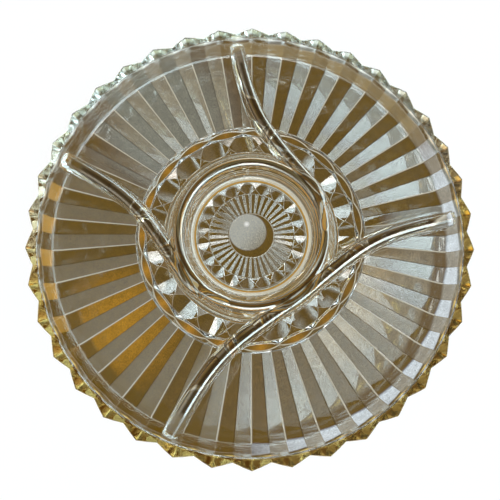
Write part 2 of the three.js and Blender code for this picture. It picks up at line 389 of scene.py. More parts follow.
@dataclass(frozen=True)
class Base:
    """The pressed base: button, rays, two bands of diamonds and the foot between them."""

    floor: Floor
    half_angle: float
    recess: float = 3.2 * MM
    button_radius: float = 19 * MM
    button_dimple: float = 1.4 * MM
    button_steps: int = 5
    ray_length: float = 17 * MM
    ray_depth: float = 0.85 * MM
    ray_end: float = 0.6 * MM
    small_length: float = 10.5 * MM
    small_peak: float = 1.6 * MM
    well_width: float = 26.5 * MM
    diamond_length: float = 15.2 * MM
    diamond_peak: float = 0.9 * MM
    side_slope: float = radians(16)
    side_bend: float = 0.78
    end_slope: float = radians(16.5)
    foot_width: float = 8.3 * MM
    foot_flat: float = 6.2 * MM
    foot_pinch: float = 0.8 * MM
    foot_chamfer: float = 1.2 * MM
    # Painted highlight lines along the borders, arrises and foot, and painted warm light on the diamonds'
    # ends and the foot's flats.
    border_glint: float = 0.6
    arris_glint: float = 0.4
    foot_glint: float = 1
    end_warm_light: float = 0.04
    foot_warm_light: float = 0.9

    @property
    def ray_radius(self) -> float:
        """Outer radius of the rays."""
        return self.button_radius + self.ray_length

    @property
    def well_radius(self) -> float:
        """Outer radius of the small diamonds, where the well's wall begins."""
        return self.ray_radius + self.small_length

    @property
    def well_outer_radius(self) -> float:
        """Radius where the well's wall ends on the floor."""
        return self.well_radius + self.well_width

    @property
    def foot_inner_radius(self) -> float:
        """Inner radius of the foot."""
        return self.well_outer_radius + self.diamond_length

    @property
    def foot_outer_radius(self) -> float:
        """Outer radius of the foot."""
        return self.foot_inner_radius + self.foot_width

    def button_corners(self) -> list[Corner]:
        """Lay out the dimple under the centre.

        Returns:
            The corners from the centre outwards.
        """
        corners = []
        for share in shares(self.button_steps)[:-1]:
            height = self.recess + self.button_dimple * (1 - share ** 2)
            corners.append(Corner(self.button_radius * share, height))
        return [*corners, Corner(self.button_radius, self.recess, self.border_glint)]

    def ray_corners(self, ridge: float) -> list[Corner]:
        """Lay out the rays, which deepen outwards and end in a short slope.

        Args:
            ridge: share of the ridge.

        Returns:
            The two ends of a ray.
        """
        ends = (self.button_radius + self.ray_end, self.ray_radius - self.ray_end)
        depths = [ridge * self.ray_depth * radius / self.ray_radius for radius in ends]
        return [Corner(radius, self.recess - depth) for radius, depth in zip(ends, depths)]

    def diamond_corners(self, inner: float, length: float, peak: float, place: float) -> list[Corner]:
        """Lay out one row of a four-sided diamond at a place, flat between its two end facets.

        Args:
            inner: inner radius of the band of diamonds.
            length: radial length of a diamond.
            peak: height of its lowest point.
            place: place across the sector.

        Returns:
            Four corners from the inner to the outer edge of the band.
        """
        middle = inner + length / 2
        rise = abs(place) ** self.side_bend * middle * self.half_angle * math.tan(self.side_slope)
        reach = min(rise / math.tan(self.end_slope), length / 2)
        ends = max(rise, length / 2 * math.tan(self.end_slope))
        return [
            Corner(inner, peak + ends, self.border_glint, self.end_warm_light),
            Corner(middle - reach, peak + rise, self.arris_glint),
            Corner(middle + reach, peak + rise, self.arris_glint, self.end_warm_light),
            Corner(inner + length, peak + ends, self.border_glint),
        ]

    def foot_corners(self, place: float, ridge: float) -> list[Corner]:
        """Lay out the foot, whose flat is pinched at the cuts between the diamonds.

        Args:
            place: place across the sector.
            ridge: share of the ridge.

        Returns:
            The corners from the inner edge of the flat out to the floor.
        """
        flat = lerp(self.foot_flat, self.foot_pinch, place ** 2)
        warm_light = self.foot_warm_light * (1 - abs(place)) ** 2
        middle = self.foot_inner_radius + self.foot_width / 2
        outer = self.foot_outer_radius
        return [
            Corner(middle - flat / 2, 0, self.foot_glint, warm_light),
            Corner(middle + flat / 2, 0, self.foot_glint),
            Corner(outer, self.foot_chamfer, self.border_glint),
            Corner(outer, self.floor.underside(outer, ridge), self.border_glint),
        ]

    def corners(self, place: float, ridge: float) -> list[Corner]:
        """Lay out the whole base at a place.

        Args:
            place: place across the sector.
            ridge: share of the ridge.

        Returns:
            The corners from the centre out to the floor.
        """
        return [
            *self.button_corners(),
            *self.ray_corners(ridge),
            Corner(self.ray_radius, self.recess, self.border_glint),
            *self.diamond_corners(self.ray_radius, self.small_length, self.small_peak, place),
            Corner(self.well_radius, self.recess),
            Corner(self.well_outer_radius, self.recess),
            *self.diamond_corners(self.well_outer_radius, self.diamond_length, self.diamond_peak, place),
            *self.foot_corners(place, ridge),
        ]

    def creased(self, radius: float) -> bool:
        """Tell whether the columns' creases take painted highlight and shade lines at a radius."""
        return self.button_radius < radius < self.ray_radius or radius >= self.foot_outer_radius


class Side(Enum):
    """The two dividers on the right of the dish; the left ones are their mirror images."""

    BACK = 1
    FRONT = -1


@dataclass(frozen=True)
class Divider:
    """A divider: a ridge that leaves the wall at a slant and sweeps round into the lip of the well."""

    ridge: Ridge
    rim: Rim
    touch_radius: float
    lip_radius: float
    tip_angle: float = radians(31.7)
    front_turn: float = radians(90)
    lean: float = radians(7.5)
    sweep: float = radians(55)
    run_out: float = radians(35)
    bend: float = 0.95
    steps: int = 90
    run_out_steps: int = 30

    def line(self, side: Side) -> np.ndarray:
        """Lay out the middle line of a right-hand divider in plan.

        Args:
            side: which of the two right-hand dividers.

        Returns:
            The line's points from the wall to the lip of the well.
        """
        top = self.rim.floor.top + self.ridge.height
        tip = np.array((self.rim.wall_radius(top) + self.rim.glass, 0))
        touch = np.array(polar((0, 0), self.touch_radius, self.sweep))
        leaving = np.array((-math.cos(self.lean), math.sin(self.lean)))
        arriving = np.array((math.sin(self.sweep), -math.cos(self.sweep)))
        along, _ = np.linalg.solve(np.column_stack((leaving, -arriving)), touch - tip)
        corner = tip + along * leaving
        first = lerp(tip, corner, self.bend)
        second = lerp(touch, corner, self.bend)
        points = []
        for share in shares(self.steps):
            rest = 1 - share
            points.append(rest ** 3 * tip + 3 * rest ** 2 * share * first
                          + 3 * rest * share ** 2 * second + share ** 3 * touch)
        for share in shares(self.run_out_steps)[1:]:
            radius = lerp(self.touch_radius, self.lip_radius, share ** 2 * (3 - 2 * share))
            points.append(polar((0, 0), radius, self.sweep + self.run_out * share))
        return self.placed(np.array(points), side)

    def placed(self, local: np.ndarray, side: Side) -> np.ndarray:
        """Turn a line from the divider's own axis to its place on the right of the dish.

        Args:
            local: plan points with the tip on +X, sweeping anticlockwise.
            side: which of the two right-hand dividers.

        Returns:
            The points in the dish's frame, sweeping clockwise.
        """
        angle = NARROW_SECTION - self.tip_angle
        if side is Side.FRONT:
            angle -= self.front_turn
        cosine, sine = math.cos(angle), math.sin(angle)
        mirrored = local * (1, -1)
        return mirrored @ np.array(((cosine, sine), (-sine, cosine)))


@dataclass(frozen=True)
class UpperFace:
    """The upper face of the dish: floor, well, dividers, wall and rim as one surface."""

    pattern: Pattern
    rim: Rim
    base: Base
    wall_columns: int = 912
    well_columns: int = 608
    floor_columns: int = 152
    floor_rings: int = 8
    centre_rings: tuple[float, ...] = (0.3, 0.6, 0.85)
    strip_margin: float = 1 * MM
    meeting_fillet: float = 3 * MM
    wall_height: float = 14 * MM
    lip_top: float = 5 * MM
    lip_fillet: float = 6 * MM
    divider_half_width: float = 8 * MM
    divider_top: float = 6.2 * MM
    divider_fillet: float = 1.4 * MM
    touch_gap: float = 5 * MM
    merge: float = 1e-7

    @property
    def floor_top(self) -> float:
        """Height of the floor."""
        return self.rim.floor.top

    @property
    def lip_radius(self) -> float:
        """Radius of the middle of the well's lip."""
        return self.base.well_radius + self.base.well_width / 2

    @property
    def divider(self) -> Divider:
        """The divider that all four follow."""
        ridge = Ridge(self.divider_half_width, self.wall_height, self.divider_top, self.divider_fillet)
        return Divider(ridge, self.rim, self.lip_radius + self.touch_gap, self.lip_radius)

    @property
    def lines(self) -> list[np.ndarray]:
        """Middle lines of the right-hand dividers."""
        return [self.divider.line(side) for side in Side]

    def lip_profile(self) -> list[Point]:
        """Lay out the well's wall.

        Returns:
            Radius and height above the floor of its points, outwards.
        """
        half = Ridge(self.base.well_width / 2, self.wall_height, self.lip_top, self.lip_fillet).profile()
        inner = [(self.lip_radius - offset, height) for offset, height in reversed(half)]
        return inner + [(self.lip_radius + offset, height) for offset, height in half[1:]]

    def profile(self) -> list[Point]:
        """Lay out the face without its dividers.

        Returns:
            Radius and height of its points, from the centre out to the seam.
        """
        lip = [(radius, self.floor_top + height) for radius, height in self.lip_profile()]
        seam = (self.rim.seam_radius, self.rim.height)
        return [(0, self.floor_top), *lip, *self.rim.inner_corners(), seam]

    def ring(self, radius: float, columns: int) -> np.ndarray:
        """Return evenly spaced plan points on a circle."""
        return circle(radius, np.arange(columns) * math.tau / columns)

    def seam(self) -> np.ndarray:
        """Lay out the seam.

        Returns:
            Its plan points, one for each column of the underside.
        """
        starts = np.arange(self.pattern.diamonds) * 2 * self.pattern.half_angle
        columns = np.array([self.pattern.angle(place) for place in self.pattern.places()[:-1]])
        return circle(self.rim.seam_radius, (starts[:, None] + columns).ravel())

    def divider_distance(self, points: np.ndarray) -> np.ndarray:
        """Return how far plan points lie from the nearest divider, left and right alike."""
        right = np.column_stack((np.abs(points[:, 0]), points[:, 1]))
        return np.minimum(*(distance_to_path(right, line) for line in self.lines))

    def strips(self) -> np.ndarray:
        """Lay out rows of points across each divider, where it crosses the open floor.

        Returns:
            The plan points of all four dividers.
        """
        offsets = [offset for offset, _ in self.divider.ridge.profile()]
        offsets = [*(-offset for offset in reversed(offsets[1:])), *offsets]
        rows = []
        for line in self.lines:
            along = np.gradient(line, axis=0)
            across = np.column_stack((-along[:, 1], along[:, 0])) / np.hypot(*along.T)[:, None]
            rows += [line + offset * across for offset in offsets]
        right = np.concatenate(rows)
        both = np.concatenate((right, right * (-1, 1)))
        radius = np.hypot(*both.T)
        inner = self.base.well_outer_radius + self.strip_margin
        outer = self.rim.bend_centre[0] - self.strip_margin
        return both[(radius > inner) & (radius < outer)]

    def open_floor(self) -> np.ndarray:
        """Lay out rings of points on the floor of the sections.

        Returns:
            The plan points that are clear of the dividers.
        """
        ends = (self.base.well_outer_radius, self.rim.bend_centre[0])
        radii = [lerp(*ends, share) for share in shares(self.floor_rings + 1)[1:-1]]
        points = np.concatenate([self.ring(radius, self.floor_columns) for radius in radii])
        clear = self.divider.ridge.half_width + self.strip_margin
        return points[self.divider_distance(points) > clear]

    def plan(self) -> np.ndarray:
        """Gather all plan points of the face.

        Returns:
            The points, one row each.
        """
        lip = [radius for radius, _ in self.lip_profile()]
        wall = [radius for radius, _ in self.rim.inner_corners()]
        return np.concatenate((
            np.zeros((1, 2)),
            *(self.ring(lip[0] * share, self.floor_columns) for share in self.centre_rings),
            *(self.ring(radius, self.well_columns) for radius in lip),
            self.open_floor(),
            self.strips(),
            *(self.ring(radius, self.wall_columns) for radius in wall),
            self.seam(),
        ))

    def heights(self, points: np.ndarray) -> np.ndarray:
        """Find the height of the face.

        Args:
            points: plan points, one row each.

        Returns:
            One height for each point.
        """
        radii, heights = zip(*self.profile())
        radius = np.hypot(*points.T)
        plain = np.interp(radius, radii, heights) - self.floor_top
        divider = self.divider.ridge.height_at(self.divider_distance(points))
        divider = np.where(radius < self.rim.inner_radius, divider, 0)
        return self.floor_top + blend_heights(plain, divider, self.meeting_fillet)

    def build(self) -> bpy.types.Object:
        """Build the face.

        Returns:
            A mesh object, its triangles facing up.
        """
        plan = [Vector(point) for point in self.plan()]
        result = geometry.delaunay_2d_cdt(plan, [], [], 0, self.merge)
        points = np.array([tuple(point) for point in result[0]])
        mesh = bpy.data.meshes.new("upper_face")
        mesh.from_pydata(np.column_stack((points, self.heights(points))).tolist(), [], result[2])
        return link(mesh, "upper_face")


@dataclass(frozen=True)
class Underside:
    """The pressed underside, wall and rim, built as one sector that repeats round the dish."""

    pattern: Pattern
    rim: Rim
    base: Base

    def column(self, place: float) -> list[Corner]:
        """Lay out the underside's profile at a place.

        Args:
            place: place across the sector.

        Returns:
            The corners from the centre out and up to the seam, with their painted highlights and shade.
        """
        ridge = self.pattern.ridge(place)
        corners = self.base.corners(place, ridge) + self.rim.outer_corners(ridge)
        # Painted highlight lines on the ridges and painted shade lines in the valleys, ending short of the
        # wall.
        along = self.pattern.glint(place)
        lit = []
        for corner in softened(corners, self.pattern.soft):
            below_wall = corner.radius < self.rim.crease_end
            crease = along if below_wall and self.base.creased(corner.radius) else 0
            lit.append(corner._replace(glint=corner.glint or crease))
        return lit

    def build(self) -> bpy.types.Object:
        """Build one sector.

        Returns:
            A mesh object, marked for its finish.
        """
        places = self.pattern.places()
        columns = [self.column(place) for place in places]
        points = []
        for place, column in zip(places, columns):
            angle = self.pattern.angle(place)
            points += [(*polar((0, 0), corner.radius, angle), corner.height) for corner in column]
        rows = len(columns[0])
        faces = []
        falling = []
        for column, (place, following) in enumerate(zip(places, places[1:])):
            for row in range(rows - 1):
                first = column * rows + row
                faces.append((first, first + rows, first + rows + 1, first + 1))
                falling.append(float(self.pattern.falls((place + following) / 2)))
        mesh = bpy.data.meshes.new("underside_sector")
        mesh.from_pydata(points, [], faces)
        corners = [corner for column in columns for corner in column]
        # Marks for the material: the underside, its painted highlight and shade lines, its painted warm
        # light and which facets fall.
        marks = {
            "underside": ("POINT", [1.0] * len(points)),
            "glint": ("POINT", [corner.glint for corner in corners]),
            "warm_light": ("POINT", [corner.warm_light for corner in corners]),
            "falling": ("FACE", falling),
        }
        for name, (domain, values) in marks.items():
            mesh.attributes.new(name, "FLOAT", domain).data.foreach_set("value", values)
        return link(mesh, "underside_sector")


# Node trees

class Nodes:
    """A node tree that is filled by calls, each of which adds one node."""

    def __init__(self, tree: bpy.types.NodeTree) -> None:
        """Start from an empty tree."""
        self.tree = tree
        tree.nodes.clear()

    def add(self, kind: str, settings: dict | None = None, sockets: dict | None = None) -> bpy.types.Node:
        """Add a node.

        Args:
            kind: the node's type.
            settings: properties of the node, set before its sockets.
            sockets: values or links for its inputs, by name or number.

        Returns:
            The new node.
        """
        node = self.tree.nodes.new(kind)
        for name, value in (settings or {}).items():
            setattr(node, name, value)
        for name, value in (sockets or {}).items():
            self.feed(node.inputs[name], value)
        return node

    def feed(self, socket: Socket, value: object) -> None:
        """Link a socket to another one, or set its value.

        Args:
            socket: the input to feed.
            value: a number in the tree, an output or a plain value.
        """
        if isinstance(value, Term):
            value = value.socket
        if isinstance(value, Socket):
            self.tree.links.new(value, socket)
        else:
            socket.default_value = value

    def math(self, operation: str, *values: object) -> "Term":
        """Add a Math node and return its result."""
        node = self.add("ShaderNodeMath", {"operation": operation}, dict(enumerate(values)))
        return Term(self, node.outputs[0])

    def vector(self, operation: str, sockets: dict) -> bpy.types.NodeOutputs:
        """Add a Vector Math node and return its outputs."""
        return self.add("ShaderNodeVectorMath", {"operation": operation}, sockets).outputs

    def parts(self, vector: Socket) -> "list[Term]":
        """Take a vector apart and return its three numbers."""
        node = self.add("ShaderNodeSeparateXYZ", sockets={"Vector": vector})
        return [Term(self, part) for part in node.outputs]

    def mix(self, factor: object, first: object, second: object) -> Socket:
        """Mix two colours.

        Args:
            factor: how far the second colour is taken.
            first: a colour.
            second: another colour.

        Returns:
            The mixed colour.
        """
        node = self.add("ShaderNodeMix", {"data_type": "RGBA"})
        inputs = {entry.identifier: entry for entry in node.inputs}
        for name, value in (("Factor_Float", factor), ("A_Color", first), ("B_Color", second)):
            self.feed(inputs[name], value)
        return next(entry for entry in node.outputs if entry.identifier == "Result_Color")

    def blend(self, factor: object, first: bpy.types.Node, second: bpy.types.Node) -> Socket:
        """Mix two shaders and return the result."""
        sockets = {0: factor, 1: first.outputs[0], 2: second.outputs[0]}
        return self.add("ShaderNodeMixShader", sockets=sockets).outputs[0]


class Term:
    """A number in a node tree that takes part in ordinary arithmetic."""

    def __init__(self, nodes: Nodes, socket: Socket) -> None:
        """Wrap a socket of a tree."""
        self.nodes = nodes
        self.socket = socket

    def __add__(self, other: object) -> "Term":
        """Sum."""
        return self.nodes.math("ADD", self, other)

    def __sub__(self, other: object) -> "Term":
        """Difference."""
        return self.nodes.math("SUBTRACT", self, other)

    def __mul__(self, other: object) -> "Term":
        """Product."""
        return self.nodes.math("MULTIPLY", self, other)

    def __truediv__(self, other: object) -> "Term":
        """Quotient."""
        return self.nodes.math("DIVIDE", self, other)

    def __rsub__(self, other: object) -> "Term":
        """Difference from a plain number."""
        return self.nodes.math("SUBTRACT", other, self)

    __radd__ = __add__
    __rmul__ = __mul__


@dataclass(frozen=True)
class AroundTree:
    """Geometry nodes that repeat a sector round the axis, close it with the upper face and weld the two."""

    weld: float = 0.002 * MM

    def build(self) -> bpy.types.NodeTree:
        """Build the node tree.

        Returns:
            The tree with its named inputs.
        """
        tree = bpy.data.node_groups.new("around_the_axis", "GeometryNodeTree")
        nodes = Nodes(tree)
        inputs = {"Geometry": "Geometry", "Sectors": "Int", "Upper Face": "Object",
                  "Weld Distance": "Float", "Glass": "Material"}
        for name, kind in inputs.items():
            tree.interface.new_socket(name, in_out="INPUT", socket_type=f"NodeSocket{kind}")
        tree.interface.new_socket("Geometry", in_out="OUTPUT", socket_type="NodeSocketGeometry")
        given = nodes.add("NodeGroupInput").outputs
        line = nodes.add("GeometryNodeMeshLine", {"mode": "OFFSET"}, {
            "Count": given["Sectors"], "Offset": (0, 0, 0)})
        index = Term(nodes, nodes.add("GeometryNodeInputIndex").outputs[0])
        angle = index * math.tau / Term(nodes, given["Sectors"])
        euler = nodes.add("ShaderNodeCombineXYZ", sockets={"Z": angle})
        turn = nodes.add("FunctionNodeEulerToRotation", sockets={"Euler": euler.outputs[0]})
        copies = nodes.add("GeometryNodeInstanceOnPoints", sockets={
            "Points": line.outputs[0], "Instance": given["Geometry"], "Rotation": turn.outputs[0]})
        solid = nodes.add("GeometryNodeRealizeInstances", sockets={"Geometry": copies.outputs[0]})
        upper = nodes.add("GeometryNodeObjectInfo", sockets={"Object": given["Upper Face"]})
        joined = nodes.add("GeometryNodeJoinGeometry", sockets={"Geometry": solid.outputs[0]})
        tree.links.new(upper.outputs["Geometry"], joined.inputs["Geometry"])
        welded = nodes.add("GeometryNodeMergeByDistance", sockets={
            "Geometry": joined.outputs[0], "Distance": given["Weld Distance"]})
        smooth = nodes.add("GeometryNodeSetShadeSmooth", sockets={"Geometry": welded.outputs[0]})
        dressed = nodes.add("GeometryNodeSetMaterial", sockets={
            "Geometry": smooth.outputs[0], "Material": given["Glass"]})
        nodes.add("NodeGroupOutput", sockets={"Geometry": dressed.outputs[0]})
        return tree

    def apply(self, sector: bpy.types.Object, values: dict[str, object]) -> bpy.types.Mesh:
        """Run the tree on a sector.

        Args:
            sector: the object that holds the sector.
            values: the tree's inputs by name.

        Returns:
            The welded mesh, with no modifier left.
        """
        tree = self.build()
        modifier = sector.modifiers.new("around_the_axis", "NODES")
        modifier.node_group = tree
        for entry in tree.interface.items_tree:
            if entry.in_out == "INPUT" and entry.name in values:
                modifier[entry.identifier] = values[entry.name]
        depsgraph = bpy.context.evaluated_depsgraph_get()
        mesh = bpy.data.meshes.new_from_object(sector.evaluated_get(depsgraph))
        sector.modifiers.remove(modifier)
        return mesh


# Finishes, with the directions from the axis that several of their colours share

# Where the painted warm light is strongest.
WARM_LIGHT_WAY = radians(178.6)
# Where the flutes are dull, which is also where the wall is painted dark.
DULL_WAY = radians(173.6)


@dataclass(frozen=True)
class Zone:
    """A soft step along a measure: 0 before its start, 1 past its end."""

    start: float
    full: float

    @classmethod
    def mm(cls, start: float, full: float) -> "Zone":
        """Return the zone between two measures in millimetres."""
        return cls(start * MM, full * MM)

    @classmethod
    def below(cls, limit: float, fade: float) -> "Zone":
        """Return the zone that fades out across a limit."""
        return cls(limit + fade / 2, limit - fade / 2)

    def share(self, value: Term) -> Term:
        """Find how far a value has come through the zone.

        Args:
            value: the value.

        Returns:
            The share of the way, as a smooth step.
        """
        sockets = {"Value": value, "From Min": self.start, "From Max": self.full}
        settings = {"interpolation_type": "SMOOTHSTEP"}
        return Term(value.nodes, value.nodes.add("ShaderNodeMapRange", settings, sockets).outputs[0])


@dataclass(frozen=True)
class Band:
    """A stretch of a measure between two soft steps."""

    start: Zone
    end: Zone

    def share(self, value: Term) -> Term:
        """Return 1 within the stretch and 0 outside it."""
        return self.start.share(value) * self.end.share(value)


class Spot:
    """A place on the dish as radius, height and direction, with what its mesh notes there."""

    noise_detail: float = 3
    line_detail: float = 2

    def __init__(self, nodes: Nodes) -> None:
        """Take the object coordinates of a material apart.

        Args:
            nodes: the material's nodes.
        """
        self.nodes = nodes
        self.place = nodes.add("ShaderNodeTexCoord").outputs["Object"]
        self.x, self.y, self.height = nodes.parts(self.place)
        self.radius = nodes.math("SQRT", self.x * self.x + self.y * self.y)
        self.falling = self.mark("falling")

    def mark(self, name: str) -> Term:
        """Return a number stored on the mesh."""
        node = self.nodes.add("ShaderNodeAttribute", {"attribute_name": name})
        return Term(self.nodes, node.outputs["Fac"])

    def along(self, way: float) -> Term:
        """Return how far the spot lies from the axis one way."""
        return self.x * math.cos(way) + self.y * math.sin(way)

    def towards(self, way: float) -> Term:
        """Return the cosine of the angle between the spot's direction from the axis and a way."""
        return self.along(way) / self.radius

    def distance(self, point: tuple[float, float, float]) -> Term:
        """Return how far the spot lies from a point."""
        return Term(self.nodes, self.nodes.vector("DISTANCE", {0: self.place, 1: point})["Value"])

    def uneven(self, size: float, swing: float) -> Term:
        """Return a factor about 1 that swings with soft noise in blots of a size."""
        return 1 - swing / 2 + self.noise(size) * swing

    def noise(self, size: float) -> Term:
        """Return soft noise about 0.5 with blots of a size."""
        sockets = {"Vector": self.place, "Scale": 1 / size, "Detail": self.noise_detail}
        return Term(self.nodes, self.nodes.add("ShaderNodeTexNoise", sockets=sockets).outputs[0])

    def lines(self, measure: Term, step: float) -> Term:
        """Draw lines across a measure.

        Args:
            measure: the measure along which the lines follow each other.
            step: about how far apart they lie.

        Returns:
            Noise about 0.5 that changes only along the measure.
        """
        sockets = {"W": measure, "Scale": 1 / step, "Detail": self.line_detail}
        node = self.nodes.add("ShaderNodeTexNoise", {"noise_dimensions": "1D"}, sockets)
        return Term(self.nodes, node.outputs[0])


@dataclass(frozen=True)
class Facing:
    """The side of the dish towards one way, as a soft step along the cosine of the angle from it."""

    way: float
    start: float
    full: float

    def share(self, spot: Spot) -> Term:
        """Return how far a spot lies on that side."""
        return Zone(self.start, self.full).share(spot.towards(self.way))


@dataclass(frozen=True)
class Patch:
    """A round patch in plan with a soft edge, some way from the axis."""

    way: float
    radius: float
    zone: Zone

    def share(self, spot: Spot) -> Term:
        """Find how far a spot lies within the patch.

        Args:
            spot: the place on the dish.

        Returns:
            1 within the patch and 0 outside it.
        """
        middle_x, middle_y = polar((0, 0), self.radius, self.way)
        x, y = spot.x - middle_x, spot.y - middle_y
        return self.zone.share(spot.nodes.math("SQRT", x * x + y * y))


@dataclass(frozen=True)
class FluteEnds:
    """The outer ends of the flutes on one side of the dish."""

    side: Facing
    start: Zone = Zone.mm(108, 140)

    def share(self, spot: Spot) -> Term:
        """Return how far a spot lies within these ends."""
        return self.start.share(spot.radius) * self.side.share(spot)


class Slant(Enum):
    """The two facets of a flute."""

    FALLING = 1
    RISING = 0


@dataclass(frozen=True)
class PaintedSheen:
    """A painted reflection or painted warm light on the flutes' facets of one slant, in one part of the
    dish.
    """

    part: Patch | FluteEnds
    slant: Slant
    colour: Colour

    def share(self, spot: Spot) -> Term:
        """Return how far the colour is taken at a spot."""
        slanted = spot.falling if self.slant is Slant.FALLING else 1 - spot.falling
        return self.part.share(spot) * slanted


class Tint:
    """The colour that one crossing of a surface gives to light, laid on coat by coat."""

    def __init__(self, nodes: Nodes, colour: Colour) -> None:
        """Start from one colour all over."""
        self.nodes = nodes
        self.socket = self.base(colour)

    def base(self, colour: Colour) -> tuple[float, ...]:
        """Return the base colour, whose square root tints one crossing."""
        return (*(part ** 2 for part in colour), 1)

    def lay(self, share: Term, over: "Colour | Tint") -> "Tint":
        """Lay a colour or another tint over a share of the surface.

        Args:
            share: how far it covers the surface.
            over: the colour or tint.

        Returns:
            This tint.
        """
        second = over.socket if isinstance(over, Tint) else self.base(over)
        self.socket = self.nodes.mix(share, self.socket, second)
        return self

    def scale(self, factor: Term) -> None:
        """Multiply the tint by a number."""
        self.socket = self.nodes.vector("SCALE", {0: self.socket, "Scale": factor})[0]


@dataclass(frozen=True)
class PressedGlass:
    """Clear pressed glass over a warm underside, polished where the window's light reaches it; its tints
    carry painted reflections, highlights, warm light and shade.
    """

    # The glass itself
    index: float = 1.52
    coat_index: float = 2
    gloss: float = 0.02
    dull_roughness: float = 0.55
    polished: float = 0.33
    dulling: float = 0.96
    shadow: Colour = (0.93, 0.91, 0.86)
    grain_size: float = 1.1 * MM
    grain: float = 1.3
    tint_grain: float = 2
    mottle_size: float = 7 * MM
    mottle: float = 1

    # Flutes
    brown: Colour = (0.14, 0.084, 0.0145)
    # Painted warm light on the marked edges of the base, strongest towards one side.
    gold: Colour = (0.46, 0.23, 0.024)
    warm_light_side: Facing = Facing(WARM_LIGHT_WAY, -1.3, 1)
    flute_zone: Zone = Zone.mm(96, 98)
    # Painted warm light on the falling facets towards the warm side, then painted reflections on facets of
    # one slant on other sides and at the flutes' outer ends.
    painted_sheens: tuple[PaintedSheen, ...] = (
        PaintedSheen(Patch(WARM_LIGHT_WAY, 128 * MM, Zone.mm(62, 0)), Slant.FALLING, (0.41, 0.212, 0.022)),
        PaintedSheen(Patch(radians(81.6), 130 * MM, Zone.mm(85, 30)), Slant.FALLING, (0.27, 0.235, 0.165)),
        PaintedSheen(Patch(radians(90), 130 * MM, Zone.mm(80, 30)), Slant.RISING, (0.2, 0.195, 0.15)),
        PaintedSheen(Patch(radians(-74.4), 130 * MM, Zone.mm(90, 30)), Slant.RISING, (0.36, 0.28, 0.16)),
        PaintedSheen(FluteEnds(Facing(radians(-3.4), 0.5, 0.8)), Slant.FALLING, (0.26, 0.26, 0.22)),
        PaintedSheen(FluteEnds(Facing(radians(-81.4), 0.6, 0.9)), Slant.RISING, (0.26, 0.22, 0.15)),
    )
    dull_side: Facing = Facing(DULL_WAY, 0.25, 0.9)
    dull_end: Zone = Zone.mm(168, 164)

    # Bend and wall
    bend: Band = Band(Zone.mm(152, 157), Zone.mm(167.5, 164.5))
    # Painted shade: the bend turns dark brown on one side of the dish.
    bend_shade_side: Facing = Facing(radians(-116), -0.3, 0.4)
    bend_shade: float = 0.9
    bend_polish: float = 0.3
    wall_zone: Zone = Zone.mm(164.5, 167.5)
    wall_top: Zone = Zone.mm(20.5, 18.5)
    wall_dull_side: Facing = Facing(radians(138.6), 0, 0.42)
    # Painted light on the wall: painted dark on one side, painted warm light on the falling facets and a
    # painted haze of reflection on other sides.
    wall_painted_dark: Colour = (0.13, 0.068, 0)
    wall_painted_dark_side: Facing = Facing(DULL_WAY, 0.3, 0.8)
    wall_warm_light: Colour = (0.46, 0.26, 0.04)
    wall_warm_light_side: Facing = Facing(radians(148.6), 0.85, 0.98)
    wall_reflection_haze: Colour = (0.3, 0.22, 0.1)
    wall_reflection_haze_side: Facing = Facing(radians(13.6), 0.5, 0.85)
    # A painted reflection on the falling facets and painted shade on the rising ones, on the side towards
    # the window.
    wall_reflection: Colour = (0.68, 0.74, 0.78)
    wall_shade: Colour = (0.34, 0.31, 0.25)
    wall_reflection_side: Facing = Facing(radians(-66.4), 0.42, 0.8)

    # Rim points
    rim_zone: Zone = Zone.mm(21.5, 24.5)
    rim_polish: float = 0.35
    # The rim points' tints: clear on the falling facets, painted shade on the rising ones, and painted warm
    # khaki light towards one side.
    clear: Colour = (0.95, 1, 0.95)
    clear_shade: Colour = (0.74, 0.78, 0.66)
    khaki: Colour = (1, 0.75, 0.25)
    khaki_shade: Colour = (0.68, 0.43, 0.11)
    khaki_side: Facing = Facing(radians(-116), -0.8, 0.1)

    # Well and base
    # Pale painted light: the highlight lines, the well's pale ring and the specks on the button's painted
    # reflection.
    pale: Colour = (0.62, 0.58, 0.46)
    # Painted light in the well: fine pale and gold rings, and a gold line and a pale ring where the well
    # begins (edge).
    ring: Colour = (0.52, 0.53, 0.46)
    painted_gold_ring: Colour = (0.5, 0.3, 0.06)
    well: Band = Band(Zone.mm(44, 47), Zone.mm(75, 71))
    ring_step: float = 1.2 * MM
    ring_zone: Zone = Zone(0.55, 0.57)
    painted_gold_ring_zone: Zone = Zone(0.45, 0.41)
    painted_bright_ring: Band = Band(Zone.mm(48.6, 49.2), Zone.mm(53.2, 52.6))
    edge: Band = Band(Zone.mm(46.8, 47.2), Zone.mm(48.6, 48.2))
    cut: Band = Band(Zone.mm(35, 37), Zone.mm(90, 88))
    cut_polish: float = 2

    # Button
    button_zone: Zone = Zone.mm(19.2, 18.6)
    button_polish: float = 0.15
    # Painted reflection in the button's dimple, with painted shade towards one side, pale specks and a
    # painted highlight (glow).
    button_reflection: Colour = (0.38, 0.4, 0.37)
    button_reflection_shade: Colour = (0.18, 0.16, 0.11)
    button_reflection_middle: tuple[float, float, float] = (-0.9 * MM, 4.2 * MM, 4.6 * MM)
    button_reflection_zone: Zone = Zone.mm(16.2, 14.8)
    button_shade_way: float = radians(-78)
    button_shade_fall: Zone = Zone.mm(-8, 12)
    speck_size: float = 0.6 * MM
    speck_zone: Zone = Zone(0.35, 0.9)
    glow: Colour = (0.9, 0.9, 0.86)
    highlight_patch: Patch = Patch(radians(77), 10.5 * MM, Zone.mm(3.2, 0))

    # Dividers and well on the upper face
    raised_zone: Zone = Zone.mm(9.5, 12)
    raised_end: Zone = Zone.mm(152, 147)
